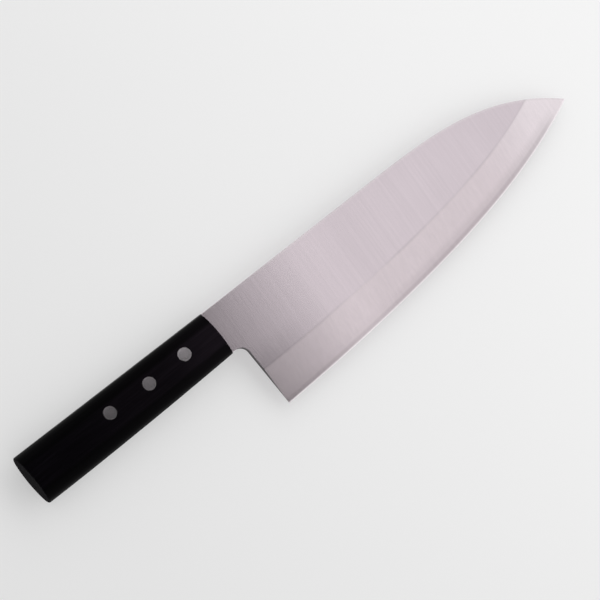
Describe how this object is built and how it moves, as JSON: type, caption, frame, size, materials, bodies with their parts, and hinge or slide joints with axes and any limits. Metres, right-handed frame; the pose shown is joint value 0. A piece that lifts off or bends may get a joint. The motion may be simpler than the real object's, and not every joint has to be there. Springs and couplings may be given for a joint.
{
  "type": "deba knife",
  "caption": "Single-bevel kitchen knife with a deep heel, a straight spine that drops to the tip, and a black riveted scale handle.",
  "frame": {"origin": "middle of the knife's box on the plane it lies on, left side down", "axes": "+X from the butt to the tip, +Y from the cutting edge to the spine, +Z out of the right, bevelled side"},
  "size_m": [0.3406, 0.0646, 0.0216],
  "materials": {
    "blade_steel": "satin, with fine grinding lines across the blade",
    "black_handle": "black resin-filled laminate, polished to a soft gloss",
    "rivet_steel": "sanded flush with the handle"
  },
  "bodies": {
    "root": {"blade": "blade_steel", "right_scale": "black_handle", "left_scale": "black_handle", "tail_spacer": "black_handle", "front_rivet_pin": "rivet_steel", "front_rivet_socket": "rivet_steel", "middle_rivet_pin": "rivet_steel", "middle_rivet_socket": "rivet_steel", "rear_rivet_pin": "rivet_steel", "rear_rivet_socket": "rivet_steel"}
  },
  "joints": []
}
